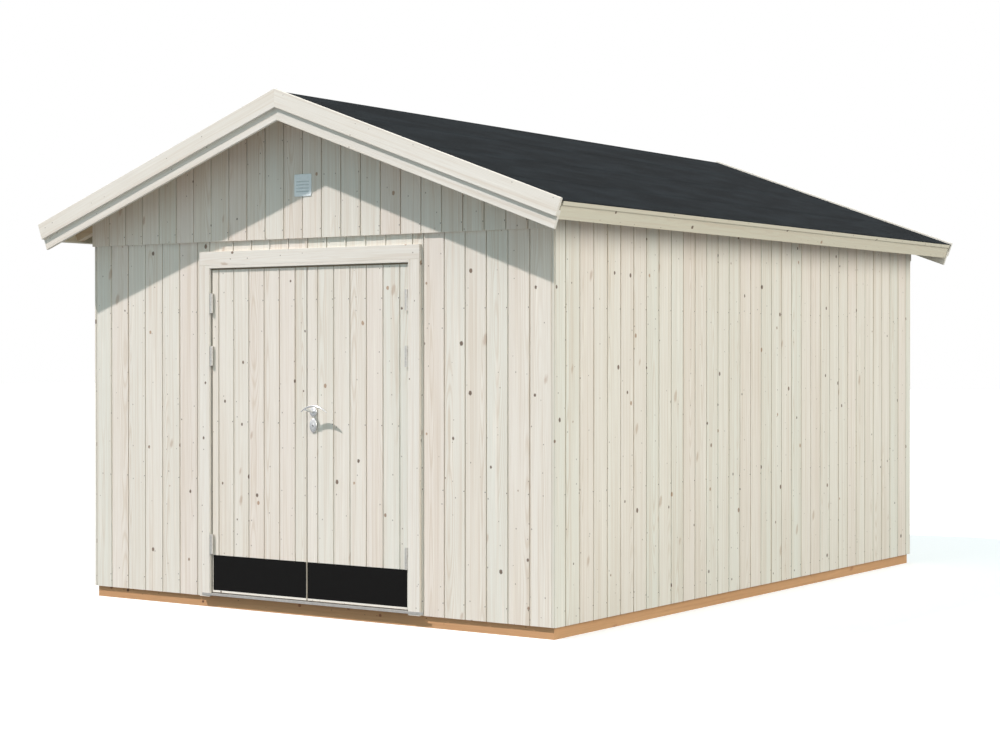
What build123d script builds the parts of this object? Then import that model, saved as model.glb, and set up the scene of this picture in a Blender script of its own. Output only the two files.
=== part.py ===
from build123d import *
import os
from math import cos, radians, sin, tan

os.makedirs("parts", exist_ok=True)

# A timber garden shed with a gable roof and a pair of ledged doors in the front gable wall.
# Millimetres. X runs to the right across the front, Y from the front to the back, Z up.
# The origin lies on the ground, under the middle of the shed.

# Wall frame and cladding
frame_width = 3230.0
frame_length = 4460.0
cladding_thickness = 18.0
cladding_bottom = 63.0
stud_width = 45.0
stud_depth = 70.0
plate_height = 45.0
side_stud_count = 8
back_bay_count = 6

# Base of treated bearers, and the floor
bearer_height = 95.0
bearer_width = 45.0
joist_count = 8
floor_thickness = 19.0

# Roof
roof_pitch = 20.0
ridge_height = 2859.0
felt_thickness = 4.0
deck_thickness = 18.0
rafter_width = 45.0
rafter_depth = 70.0
rafter_count = 8
eave_overhang = 188.5
ridge_board_width = 28.0
ridge_board_depth = 120.0
tie_count = 4
eave_block_thickness = 28.0

# Trim boards of the roof edge
verge_overhang = 259.0
trim_thickness = 18.0
trim_width = 95.0
barge_rise = 11.0
barge_step = 64.0
strip_thickness = 6.5
strip_width = 22.0

# Gable
gable_drop = 164.2
gable_lap = 40.0
vent_rise = 289.0
vent_width = 120.0
vent_tall = 122.0
vent_plate = 4.0
vent_rim = 6.0
vent_duct_radius = 44.0
louvre_count = 4
louvre_pitch = 18.0
louvre_margin = 26.0
louvre_width = 90.0
louvre_drop = 7.0

# Doorway and its casing
door_offset = 14.0
doorway_half = 706.0
casing_width = 75.0
casing_thickness = 20.0
casing_drop = 135.0
head_board_width = 79.0
head_rail_height = 16.0
cladding_setback = 16.0
post_width = 70.0
post_inset = 31.0
lintel_height = 90.0
lintel_cover = 22.0

# Sill strip at the foot of the doorway
sill_top = 84.0
sill_sheet = 3.0
sill_nose_height = 13.0
sill_length = 1566.0
sill_shift = 24.0

# Door leaves
leaf_gap = 7.5
meeting_gap = 7.0
leaf_top_gap = 9.0
leaf_foot_gap = 5.0
leaf_board = 16.0
leaf_proud = 4.0
ledge_thickness = 28.0
ledge_widths = [120.0, 150.0, 120.0]
foot_ledge_rise = 141.0
lock_ledge_drop = 45.0
top_ledge_drop = 127.0
ledge_clearance = 6.0
brace_width = 95.0
brace_gap = 1.0
kick_plate_height = 199.0
kick_plate_thickness = 1.5
kick_plate_foot_gap = 12.0
kick_plate_hinge_gap = 9.0
kick_plate_meeting_gap = 2.0

# Hinges
foot_hinge_rise = 272.0
top_hinge_drops = [487.0, 189.0]
hinge_length = 112.0
barrel_radius = 10.0
barrel_clearance = 1.0
barrel_inset = 5.5
hinge_sheet = 2.5
knuckle_gap = 1.0
pin_radius = 4.0
pin_play = 0.4
pin_length = 40.0

# Lever handle, with its round roses and oval key plates on both faces of the leaf
lever_height = 1125.0
lever_backset = 46.0
rose_radius = 26.0
plate_thickness = 9.0
plate_bevel = 3.0
neck_radius = 10.0
neck_play = 0.5
neck_lift = 16.0
spindle_radius = 4.5
spindle_play = 2.5
lever_standoff = 74.0
grip_reach = 150.0
grip_tail = 34.0
grip_rise = 34.0
grip_height = 24.0
grip_thickness = 13.0
grip_bevel = 3.5
key_drop = 74.0
key_plate_width = 50.0
key_plate_height = 80.0
key_barrel_radius = 8.5
key_barrel_proud = 2.0
key_slot_width = 2.5
key_slot_height = 10.0

# Places that follow from the sizes above
pitch = radians(roof_pitch)
half_width = frame_width / 2
half_length = frame_length / 2
inner_half_width = half_width - stud_depth
inner_half_length = half_length - stud_depth
wall_half_width = half_width + cladding_thickness
wall_half_length = half_length + cladding_thickness
gable_half_length = wall_half_length + cladding_thickness
verge_half_length = wall_half_length + verge_overhang
deck_half_length = verge_half_length - trim_thickness
fascia_half_length = deck_half_length - trim_thickness
deck_top = -felt_thickness
deck_low = deck_top - deck_thickness
rafter_low = deck_low - rafter_depth
eave_reach = (wall_half_width + eave_overhang - deck_top * sin(pitch)) / cos(pitch)
deck_reach = eave_reach - trim_thickness
edge_reach = eave_reach + strip_thickness
base_half_length = half_length - bearer_width
base_half_width = half_width - bearer_width
wall_corner_top = ridge_height + deck_low / cos(pitch) - wall_half_width * tan(pitch)
gable_joint = wall_corner_top - gable_drop
vent_height = gable_joint + vent_rise
casing_top = gable_joint - casing_drop


def roof_height(x, depth):
    """Height of the roof layer at a depth square to the slope, above the place x."""
    return ridge_height + depth / cos(pitch) - abs(x) * tan(pitch)


def roof_point(reach, depth):
    """Point of the right slope, by its reach down the slope and its depth square to it."""
    x = reach * cos(pitch) + depth * sin(pitch)
    z = ridge_height - reach * sin(pitch) + depth * cos(pitch)
    return (x, z)


def spaced(first, last, count):
    """Evenly spaced places from first to last."""
    return [first + (last - first) * i / (count - 1) for i in range(count)]


def cross_section(y):
    """Plane across the shed at y, whose own normal runs to the back."""
    return Plane(origin=(0, y, 0), x_dir=(-1, 0, 0), z_dir=(0, 1, 0))


def slope_outline(side, start_x, end_reach, low, high):
    """Outline of a board on one slope: plumb cut at the ridge, square cut at the eave."""
    right = [
        (start_x, roof_height(start_x, low)),
        roof_point(end_reach, low),
        roof_point(end_reach, high),
        (start_x, roof_height(start_x, high)),
    ]
    return [(-side * x, z) for x, z in right]


def slope_board(side, start_x, end_reach, low, high, y_starts, length):
    """Boards or slabs that lie on one slope, one for each starting place along the shed."""
    with BuildPart() as board:
        with BuildSketch(*[cross_section(y) for y in y_starts]):
            with BuildLine():
                Polyline(*slope_outline(side, start_x, end_reach, low, high), close=True)
            make_face()
        extrude(amount=length)
    return board


def on_side(side, inner, outer):
    """Limits of something that lies between two distances from the middle, on one side."""
    return tuple(sorted((side * inner, side * outer)))


def across_door(side, inner, outer):
    """Limits between two distances from the meeting line of the doors, on one side."""
    return tuple(sorted((door_offset + side * inner, door_offset + side * outer)))


def timber(x_range, y_range, z_range):
    """A straight timber or slab between three pairs of limits, added to the open part."""
    middle = [(low + high) / 2 for low, high in (x_range, y_range, z_range)]
    size = [high - low for low, high in (x_range, y_range, z_range)]
    with Locations(tuple(middle)):
        Box(*size)


def finish(piece, name):
    """Names the piece and writes its file."""
    piece.part.label = name
    export_step(piece.part, f"parts/{name}.step")


# Base: treated bearers all round, the joists between them and the floor laid on the joists
joist_height = bearer_height - floor_thickness

with BuildPart() as end_bearers:
    for side in (-1, 1):
        end_face = on_side(side, base_half_length, half_length)
        timber((-half_width, half_width), end_face, (0, bearer_height))
finish(end_bearers, "end_bearers")

with BuildPart() as side_bearers:
    for side in (-1, 1):
        side_face = on_side(side, base_half_width, half_width)
        timber(side_face, (-base_half_length, base_half_length), (0, bearer_height))
finish(side_bearers, "side_bearers")

with BuildPart() as floor_joists:
    for y in spaced(-base_half_length, base_half_length - bearer_width, joist_count):
        timber((-base_half_width, base_half_width), (y, y + bearer_width), (0, joist_height))
finish(floor_joists, "floor_joists")

with BuildPart() as floor_boards:
    timber(
        (-base_half_width, base_half_width),
        (-base_half_length, base_half_length),
        (joist_height, bearer_height),
    )
finish(floor_boards, "floor_boards")

# Wall frame: bevelled plates that carry the rafters, the plates of the end walls with the
# lintel, and the studs with the two wider posts beside the doorway
side_plate_low = roof_height(half_width, rafter_low) - plate_height
end_plate_low = side_plate_low - plate_height
stud_foot = bearer_height + plate_height
post_inner = doorway_half - post_inset
post_outer = post_inner + post_width
front_frame = (-half_length, -inner_half_length)
back_frame = (inner_half_length, half_length)

with BuildPart() as side_wall_plates:
    for side in (-1, 1):
        timber(
            on_side(side, inner_half_width, half_width),
            (-half_length, half_length),
            (bearer_height, stud_foot),
        )
        with BuildSketch(cross_section(-half_length)):
            with BuildLine():
                Polyline(
                    (-side * inner_half_width, side_plate_low),
                    (-side * half_width, side_plate_low),
                    (-side * half_width, roof_height(half_width, rafter_low)),
                    (-side * inner_half_width, roof_height(inner_half_width, rafter_low)),
                    close=True,
                )
            make_face()
        extrude(amount=frame_length)
finish(side_wall_plates, "side_wall_plates")

head_rail_low = casing_top - head_rail_height
leaf_top = head_rail_low - leaf_top_gap
leaf_bottom = sill_top + leaf_foot_gap
lintel_low = leaf_top - lintel_cover

with BuildPart() as end_wall_plates:
    for end_frame in (front_frame, back_frame):
        timber(
            (-inner_half_width, inner_half_width),
            end_frame,
            (end_plate_low, side_plate_low),
        )
    timber((-inner_half_width, inner_half_width), back_frame, (bearer_height, stud_foot))
    timber((-inner_half_width, door_offset - post_outer), front_frame, (bearer_height, stud_foot))
    timber((door_offset + post_outer, inner_half_width), front_frame, (bearer_height, stud_foot))
    timber(
        across_door(1, -post_inner, post_inner),
        front_frame,
        (lintel_low, lintel_low + lintel_height),
    )
finish(end_wall_plates, "end_wall_plates")

with BuildPart() as wall_studs:
    for y in spaced(-half_length, half_length - stud_width, side_stud_count):
        for side in (-1, 1):
            timber(
                on_side(side, inner_half_width, half_width),
                (y, y + stud_width),
                (stud_foot, side_plate_low),
            )
    for x in spaced(-inner_half_width, inner_half_width, back_bay_count + 1)[1:-1]:
        timber((x - stud_width / 2, x + stud_width / 2), back_frame, (stud_foot, end_plate_low))
    for side in (-1, 1):
        bay_middle = (side * door_offset + post_outer + inner_half_width) / 2
        timber(
            on_side(side, bay_middle - stud_width / 2, bay_middle + stud_width / 2),
            front_frame,
            (stud_foot, end_plate_low),
        )
        timber(
            across_door(side, post_inner, post_outer),
            front_frame,
            (bearer_height, end_plate_low),
        )
finish(wall_studs, "wall_studs")

# Wall cladding: the side walls cover the ends of the boards at the front and the back
front_cladding = (-wall_half_length, -half_length)
cladding_top = gable_joint + gable_lap
cladding_edge = doorway_half + cladding_setback

for name, side in (("left_wall", -1), ("right_wall", 1)):
    with BuildPart() as side_wall:
        with BuildSketch(cross_section(-wall_half_length)):
            with BuildLine():
                Polyline(
                    (-side * half_width, cladding_bottom),
                    (-side * wall_half_width, cladding_bottom),
                    (-side * wall_half_width, roof_height(wall_half_width, rafter_low)),
                    (-side * half_width, roof_height(half_width, rafter_low)),
                    close=True,
                )
            make_face()
        extrude(amount=2 * wall_half_length)
    finish(side_wall, name)

with BuildPart() as back_wall:
    timber(
        (-half_width, half_width),
        (half_length, wall_half_length),
        (cladding_bottom, cladding_top),
    )
finish(back_wall, "back_wall")

with BuildPart() as front_wall:
    for x_range in (
        (-half_width, door_offset - cladding_edge),
        (door_offset + cladding_edge, half_width),
    ):
        timber(x_range, front_cladding, (cladding_bottom, cladding_top))
finish(front_wall, "front_wall")

with BuildPart() as front_wall_header:
    timber(
        across_door(1, -cladding_edge, cladding_edge),
        front_cladding,
        (casing_top + cladding_setback, cladding_top),
    )
finish(front_wall_header, "front_wall_header")

# Gables: boards that lap over the wall below; a round duct runs through the front one
for name, start_y, duct_radius in (
    ("front_gable", -gable_half_length, vent_duct_radius),
    ("back_gable", wall_half_length, 0),
):
    with BuildPart() as gable:
        with BuildSketch(cross_section(start_y)):
            with BuildLine():
                Polyline(
                    (-wall_half_width, gable_joint),
                    (wall_half_width, gable_joint),
                    (wall_half_width, roof_height(wall_half_width, deck_low)),
                    (0, roof_height(0, deck_low)),
                    (-wall_half_width, roof_height(wall_half_width, deck_low)),
                    close=True,
                )
            make_face()
            if duct_radius:
                with Locations((0, vent_height)):
                    Circle(duct_radius, mode=Mode.SUBTRACT)
        extrude(amount=cladding_thickness)
    finish(gable, name)

# Vent over the duct: a plate with rounded corners, cut through by slots that slope down outwards
vent_back = -gable_half_length
vent_front = vent_back - vent_plate
first_louvre = vent_height - vent_tall / 2 + louvre_margin

with BuildPart() as vent_grille:
    with BuildSketch(Plane.XZ.offset(-vent_back)):
        with Locations((0, vent_height)):
            RectangleRounded(vent_width, vent_tall, vent_rim)
    extrude(amount=vent_plate)
    fillet(vent_grille.faces().sort_by(Axis.Y)[0].edges(), vent_plate / 3)
    with BuildSketch(Plane.YZ.offset(-louvre_width / 2)):
        for i in range(louvre_count):
            slot_foot = first_louvre + i * louvre_pitch - louvre_drop / 2
            with BuildLine():
                Polyline(
                    (vent_front, slot_foot),
                    (vent_front, slot_foot + louvre_drop),
                    (vent_back, slot_foot + 2 * louvre_drop),
                    (vent_back, slot_foot + louvre_drop),
                    close=True,
                )
            make_face()
    extrude(amount=louvre_width, mode=Mode.SUBTRACT)
finish(vent_grille, "vent_grille")

# Roof frame: ridge board, rafters, ties and the blocks that close the eaves
rafter_start = ridge_board_width / 2
ridge_board_top = roof_height(rafter_start, deck_low)
rafter_places = spaced(-wall_half_length, wall_half_length - rafter_width, rafter_count)
verge_rafter_places = [-fascia_half_length, fascia_half_length - rafter_width]

with BuildPart() as ridge_board:
    timber(
        (-rafter_start, rafter_start),
        (-wall_half_length, wall_half_length),
        (ridge_board_top - ridge_board_depth, ridge_board_top),
    )
finish(ridge_board, "ridge_board")

for name, side in (("left_rafters", -1), ("right_rafters", 1)):
    with BuildPart() as rafters:
        for start_x, places in ((rafter_start, rafter_places), (0, verge_rafter_places)):
            outline = slope_outline(side, start_x, deck_reach, rafter_low, deck_low)
            with BuildSketch(*[cross_section(y) for y in places]):
                with BuildLine():
                    Polyline(*outline, close=True)
                make_face()
            extrude(amount=rafter_width)
    finish(rafters, name)

with BuildPart() as roof_ties:
    for y in spaced(-half_length, half_length - stud_width, tie_count):
        timber(
            (-inner_half_width, inner_half_width),
            (y, y + stud_width),
            (side_plate_low, roof_height(inner_half_width, rafter_low)),
        )
finish(roof_ties, "roof_ties")

block_inner = half_width - eave_block_thickness
block_length = rafter_places[1] - rafter_places[0] - rafter_width
with BuildPart() as eave_blocks:
    for side in (-1, 1):
        with BuildSketch(*[cross_section(y + rafter_width) for y in rafter_places[:-1]]):
            with BuildLine():
                Polyline(
                    (-side * block_inner, roof_height(block_inner, rafter_low)),
                    (-side * half_width, roof_height(half_width, rafter_low)),
                    (-side * half_width, roof_height(half_width, deck_low)),
                    (-side * block_inner, roof_height(block_inner, deck_low)),
                    close=True,
                )
            make_face()
        extrude(amount=block_length)
finish(eave_blocks, "eave_blocks")

# Roof covering: the deck of boards and the felt over it, both as long as the barges let them be
for side_name, side in (("left", -1), ("right", 1)):
    roof_deck = slope_board(
        side, 0, deck_reach, deck_low, deck_top, [-deck_half_length], 2 * deck_half_length
    )
    finish(roof_deck, f"{side_name}_roof_deck")
    roof_felt = slope_board(
        side, 0, edge_reach, deck_top, 0, [-deck_half_length], 2 * deck_half_length
    )
    finish(roof_felt, f"{side_name}_roof_felt")

# Bargeboards: two steps at each gable, mitred under the ridge; the lower one stands further back
upper_barge_low = barge_rise - trim_width
lower_barge_low = upper_barge_low - barge_step

for side_name, side in (("left", -1), ("right", 1)):
    for step_name, low, places in (
        ("upper", upper_barge_low, [-verge_half_length, deck_half_length]),
        ("lower", lower_barge_low, [-deck_half_length, fascia_half_length]),
    ):
        bargeboards = slope_board(
            side, 0, edge_reach, low, low + trim_width, places, trim_thickness
        )
        finish(bargeboards, f"{side_name}_{step_name}_bargeboards")

# Eaves: a fascia square to the slope on each side, and the drip strip on its face under the felt
for name, inner_reach, outer_reach, width in (
    ("fascias", deck_reach, eave_reach, trim_width),
    ("drip_strips", eave_reach, edge_reach, strip_width),
):
    with BuildPart() as eave_boards:
        corners = [
            roof_point(inner_reach, deck_top - width),
            roof_point(outer_reach, deck_top - width),
            roof_point(outer_reach, deck_top),
            roof_point(inner_reach, deck_top),
        ]
        for side in (-1, 1):
            with BuildSketch(cross_section(-fascia_half_length)):
                with BuildLine():
                    Polyline(*[(-side * x, z) for x, z in corners], close=True)
                make_face()
            extrude(amount=2 * fascia_half_length)
    finish(eave_boards, name)

# Doorway trim: the casings, the head board across them and the thin rail under it
casing_front = -wall_half_length - casing_thickness
casing_depth = (casing_front, -wall_half_length)
casing_outer = doorway_half + casing_width

with BuildPart() as door_casings:
    for side in (-1, 1):
        timber(
            across_door(side, doorway_half, casing_outer),
            casing_depth,
            (cladding_bottom, casing_top),
        )
finish(door_casings, "door_casings")

with BuildPart() as head_casing:
    timber(
        across_door(1, -casing_outer, casing_outer),
        casing_depth,
        (casing_top, casing_top + head_board_width),
    )
finish(head_casing, "head_casing")

with BuildPart() as head_rail:
    timber(
        across_door(1, -doorway_half, doorway_half),
        (casing_front, -half_length),
        (head_rail_low, casing_top),
    )
finish(head_rail, "head_rail")

# Sill: a folded metal sheet against the bearer, with a nose that runs across the casings
sill_nose = casing_front - sill_sheet
sill_foot = sill_top - sill_nose_height
sill_under = sill_top - sill_sheet

with BuildPart() as sill:
    with BuildSketch(Plane.YZ.offset(door_offset - doorway_half)):
        with BuildLine():
            Polyline(
                (-half_length, sill_foot),
                (-half_length, sill_top),
                (casing_front, sill_top),
                (casing_front, sill_under),
                (-half_length - sill_sheet, sill_under),
                (-half_length - sill_sheet, sill_foot),
                close=True,
            )
        make_face()
    extrude(amount=2 * doorway_half)
    timber(
        across_door(1, sill_shift - sill_length / 2, sill_shift + sill_length / 2),
        (sill_nose, casing_front),
        (sill_foot, sill_top),
    )
finish(sill, "sill")

# Door leaves: upright boards on three ledges and two braces that rise from the hinge side
leaf_front = -wall_half_length - leaf_proud
leaf_back = leaf_front + leaf_board
ledge_back = leaf_back + ledge_thickness
leaf_outer = doorway_half - leaf_gap
leaf_inner = meeting_gap / 2
ledge_outer = post_inner - ledge_clearance
ledge_inner = leaf_inner + ledge_clearance
lever_x = door_offset + leaf_inner + lever_backset
spindle_hole = spindle_radius + spindle_play
ledge_middles = [
    leaf_bottom + foot_ledge_rise,
    lever_height - lock_ledge_drop,
    leaf_top - top_ledge_drop,
]

for side_name, side in (("left", -1), ("right", 1)):
    with BuildPart() as door_boards:
        timber(
            across_door(side, leaf_inner, leaf_outer),
            (leaf_front, leaf_back),
            (leaf_bottom, leaf_top),
        )
        if side > 0:
            with Locations(Plane(origin=(lever_x, leaf_front, lever_height), z_dir=(0, -1, 0))):
                Hole(spindle_hole, depth=leaf_board)
    finish(door_boards, f"{side_name}_door_boards")

    with BuildPart() as door_ledges:
        for middle, width in zip(ledge_middles, ledge_widths):
            timber(
                across_door(side, ledge_inner, ledge_outer),
                (leaf_back, ledge_back),
                (middle - width / 2, middle + width / 2),
            )
        for i in range(len(ledge_middles) - 1):
            brace_low = ledge_middles[i] + ledge_widths[i] / 2 + brace_gap
            brace_high = ledge_middles[i + 1] - ledge_widths[i + 1] / 2 - brace_gap
            with BuildSketch(Plane.XZ.offset(-ledge_back)):
                with BuildLine():
                    Polyline(
                        (door_offset + side * ledge_outer, brace_low),
                        (door_offset + side * (ledge_outer - brace_width), brace_low),
                        (door_offset + side * ledge_inner, brace_high),
                        (door_offset + side * (ledge_inner + brace_width), brace_high),
                        close=True,
                    )
                make_face()
            extrude(amount=ledge_thickness)
        if side > 0:
            with Locations(Plane(origin=(lever_x, leaf_back, lever_height), z_dir=(0, -1, 0))):
                Hole(spindle_hole, depth=ledge_thickness)
    finish(door_ledges, f"{side_name}_door_ledges")

    kick_plate_foot = leaf_bottom + kick_plate_foot_gap
    with BuildPart() as kick_plate:
        timber(
            across_door(
                side, leaf_inner + kick_plate_meeting_gap, leaf_outer - kick_plate_hinge_gap
            ),
            (leaf_front - kick_plate_thickness, leaf_front),
            (kick_plate_foot, kick_plate_foot + kick_plate_height),
        )
    finish(kick_plate, f"{side_name}_kick_plate")

# Hinges: the knuckle below holds the pin and the one above turns on it; each has a sheet that
# stands in the gap beside the leaf, one against the casing and one against the leaf's edge
hinge_heights = [leaf_bottom + foot_hinge_rise] + [leaf_top - drop for drop in top_hinge_drops]
hinge_side = leaf_outer - barrel_inset
hinge_y = leaf_front - barrel_clearance - barrel_radius
sheet_end = leaf_back - hinge_sheet
knuckle_length = (hinge_length - knuckle_gap) / 2
knuckle_starts = [z - hinge_length / 2 for z in hinge_heights]
pin_starts = [z + knuckle_length for z in knuckle_starts]
upper_starts = [z + knuckle_gap for z in pin_starts]


def knuckle_outline(side, sheet_inner):
    """Flat outline of a knuckle: the barrel, the tab beside it and the sheet behind the tab."""
    sheet_outer = sheet_inner + hinge_sheet
    with BuildSketch(mode=Mode.PRIVATE) as outline:
        with Locations((door_offset + side * hinge_side, hinge_y)):
            Circle(barrel_radius)
        with Locations((door_offset + side * (hinge_side + sheet_outer) / 2, hinge_y)):
            Rectangle(sheet_outer - hinge_side, 2 * hinge_sheet)
        with Locations(
            (door_offset + side * (sheet_inner + sheet_outer) / 2, (hinge_y + sheet_end) / 2)
        ):
            Rectangle(hinge_sheet, sheet_end - hinge_y)
    return outline.sketch


with BuildPart() as frame_hinges:
    for side in (-1, 1):
        with BuildSketch(*[Plane.XY.offset(z) for z in knuckle_starts]):
            add(knuckle_outline(side, doorway_half - hinge_sheet))
        extrude(amount=knuckle_length)
        with BuildSketch(*[Plane.XY.offset(z) for z in pin_starts]):
            with Locations((door_offset + side * hinge_side, hinge_y)):
                Circle(pin_radius)
        extrude(amount=knuckle_gap + pin_length)
finish(frame_hinges, "frame_hinges")

for side_name, side in (("left", -1), ("right", 1)):
    with BuildPart() as door_hinges:
        with BuildSketch(*[Plane.XY.offset(z) for z in upper_starts]):
            add(knuckle_outline(side, leaf_outer))
            with Locations((door_offset + side * hinge_side, hinge_y)):
                Circle(pin_radius + pin_play, mode=Mode.SUBTRACT)
        extrude(amount=knuckle_length)
    finish(door_hinges, f"{side_name}_door_hinges")

# Roses and key plates on both faces of the right leaf, the key plates with a keyhole
leaf_middle = Plane.XZ.offset(-(leaf_front + ledge_back) / 2)
key_height = lever_height - key_drop
plate_front = leaf_front - plate_thickness
key_front = plate_front - key_barrel_proud

with BuildPart() as lock_plates:
    with BuildSketch(Plane.XZ.offset(-leaf_front)):
        with Locations((lever_x, lever_height)):
            Circle(rose_radius)
        with Locations((lever_x, key_height)):
            Ellipse(key_plate_width / 2, key_plate_height / 2)
    extrude(amount=plate_thickness)
    chamfer(lock_plates.faces().sort_by(Axis.Y)[:2].edges(), plate_bevel)
    with BuildSketch(Plane.XZ.offset(-plate_front)):
        with Locations((lever_x, key_height)):
            Circle(key_barrel_radius)
    extrude(amount=key_barrel_proud)
    with BuildSketch(Plane.XZ.offset(-key_front)):
        with Locations((lever_x, key_height)):
            Rectangle(key_slot_width, key_slot_height)
            Circle(key_slot_width)
    extrude(amount=-plate_thickness, mode=Mode.SUBTRACT)
    with BuildSketch(Plane.XZ.offset(-leaf_front)):
        with Locations((lever_x, lever_height)):
            Circle(neck_radius + neck_play)
    extrude(amount=plate_thickness, mode=Mode.SUBTRACT)
    mirror(about=leaf_middle)
finish(lock_plates, "lock_plates")

# Lever handle: an arched grip that tapers to both ends, on a round neck that leans up to it, the
# same inside and outside, joined by the spindle
grip_back = leaf_front - lever_standoff + grip_thickness / 2
grip_middle = lever_x + (grip_reach - grip_tail) / 2
tip_half = grip_height / 4
tips = (lever_x - grip_tail, lever_x + grip_reach)

with BuildPart() as lever_handle:
    with BuildSketch(Plane.XZ.offset(-grip_back)):
        with BuildLine():
            upper_edge = ThreePointArc(
                (tips[0], lever_height + tip_half),
                (grip_middle, lever_height + grip_rise + grip_height / 2),
                (tips[1], lever_height + tip_half),
            )
            lower_edge = ThreePointArc(
                (tips[0], lever_height - tip_half),
                (grip_middle, lever_height + grip_rise - grip_height / 2),
                (tips[1], lever_height - tip_half),
            )
            Line(upper_edge @ 0, lower_edge @ 0)
            Line(upper_edge @ 1, lower_edge @ 1)
        make_face()
    extrude(amount=grip_thickness)
    chamfer(lever_handle.edges(), grip_bevel)
    with BuildSketch(Plane.XZ.offset(-(leaf_front - neck_play))):
        with Locations((lever_x, lever_height)):
            Circle(neck_radius)
    extrude(amount=plate_thickness)
    with BuildSketch(Plane.XZ.offset(-(plate_front - neck_play))):
        with Locations((lever_x, lever_height)):
            Circle(neck_radius)
    with BuildSketch(Plane.XZ.offset(-(grip_back - grip_thickness / 2))):
        with Locations((lever_x, lever_height + neck_lift)):
            Circle(neck_radius)
    loft(ruled=True)
    mirror(about=leaf_middle)
    with BuildSketch(Plane.XZ.offset(-(ledge_back + neck_play))):
        with Locations((lever_x, lever_height)):
            Circle(spindle_radius)
    extrude(amount=ledge_back - leaf_front + 2 * neck_play)
finish(lever_handle, "lever_handle")
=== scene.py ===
# %% [markdown]
# # A timber garden shed, dressed in Blender
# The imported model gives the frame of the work: every solid of the shed, in metres, and the
# bodies that move. This script reads it, lays real boards over the plain walls, gives each
# surface a finish of nodes, and sets up a camera and plain light.
#
# The order is: the model, the finishes of wood, the boards of the walls, gables and roof, the
# felt, the doorway and doors, the floor and frame, the metal, the lever, the nails, and last
# the stage and the camera.

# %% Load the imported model
import math

import bpy
import numpy as np
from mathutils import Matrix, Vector


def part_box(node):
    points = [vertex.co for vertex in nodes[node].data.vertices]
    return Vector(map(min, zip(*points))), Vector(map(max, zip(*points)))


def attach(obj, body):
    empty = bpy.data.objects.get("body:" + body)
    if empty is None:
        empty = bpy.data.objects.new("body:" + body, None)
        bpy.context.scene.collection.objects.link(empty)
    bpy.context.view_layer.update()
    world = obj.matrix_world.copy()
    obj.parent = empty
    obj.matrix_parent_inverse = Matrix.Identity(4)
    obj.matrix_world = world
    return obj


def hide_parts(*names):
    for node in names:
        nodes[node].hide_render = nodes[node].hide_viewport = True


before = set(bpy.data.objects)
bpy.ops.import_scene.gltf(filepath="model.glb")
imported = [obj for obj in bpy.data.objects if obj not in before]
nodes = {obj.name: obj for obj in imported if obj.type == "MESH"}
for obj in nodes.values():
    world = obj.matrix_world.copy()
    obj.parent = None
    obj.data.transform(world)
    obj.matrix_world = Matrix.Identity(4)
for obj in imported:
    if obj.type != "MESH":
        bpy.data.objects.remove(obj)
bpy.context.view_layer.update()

# %% [markdown]
# ## Helpers for shader nodes
# A material in Blender is a graph. Adding a node, setting its options and linking its inputs
# takes many lines when each is written out, so one small function does all three. Whatever is
# a socket gets a link, and whatever is a number or a colour becomes the socket's value.

# %% Node helpers
MIX_FACTOR, MIX_FROM, MIX_TO, MIX_RESULT = 0, 6, 7, 2  # the sockets for colours


def node(tree, kind, inputs=None, **options):
    """Adds a node, sets its options, and links or sets its inputs by name or by number."""
    new = tree.nodes.new(kind)
    for key, value in options.items():
        setattr(new, key, value)
    for key, value in (inputs or {}).items():
        if isinstance(value, bpy.types.NodeSocket):
            tree.links.new(value, new.inputs[key])
        else:
            new.inputs[key].default_value = value
    return new


def calc(tree, operation, *values):
    """The result of one sum of numbers or sockets."""
    given = dict(enumerate(values))
    return node(tree, "ShaderNodeMath", given, operation=operation).outputs[0]


def stretch(tree, vector, *factors):
    """The vector with each of its three numbers multiplied."""
    given = {0: vector, 1: factors}
    return node(tree, "ShaderNodeVectorMath", given, operation="MULTIPLY").outputs[0]


def mix(tree, factor, a, b):
    """Colour a turned towards colour b by the factor."""
    given = {MIX_FACTOR: factor, MIX_FROM: a, MIX_TO: b}
    return node(tree, "ShaderNodeMix", given, data_type="RGBA").outputs[MIX_RESULT]


def remap(tree, value, low, high, out_low, out_high, kind="LINEAR"):
    """The value moved from the range low..high to the range out_low..out_high."""
    given = dict(enumerate((value, low, high, out_low, out_high)))
    return node(tree, "ShaderNodeMapRange", given, interpolation_type=kind).outputs[0]


def ease(tree, value, low, high, out_low=0.0, out_high=1.0):
    """A soft step: out_low where the value is low, out_high where it is high."""
    return remap(tree, value, low, high, out_low, out_high, "SMOOTHSTEP")


def noise(tree, vector, scale, detail=2.0, roughness=0.5):
    """Soft random values of about 0.5 that change over a length of one over the scale."""
    given = {"Vector": vector, "Scale": scale, "Detail": detail, "Roughness": roughness}
    return node(tree, "ShaderNodeTexNoise", given).outputs["Fac"]


# %% [markdown]
# ## Spots
# A knot is the end of a branch. Knots could be set one by one, but a Voronoi pattern scatters
# them over every board at once: each of its cells has one random place, and the distance from
# it makes a round spot. The cell's random colour says whether it holds a spot, and how large.

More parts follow.
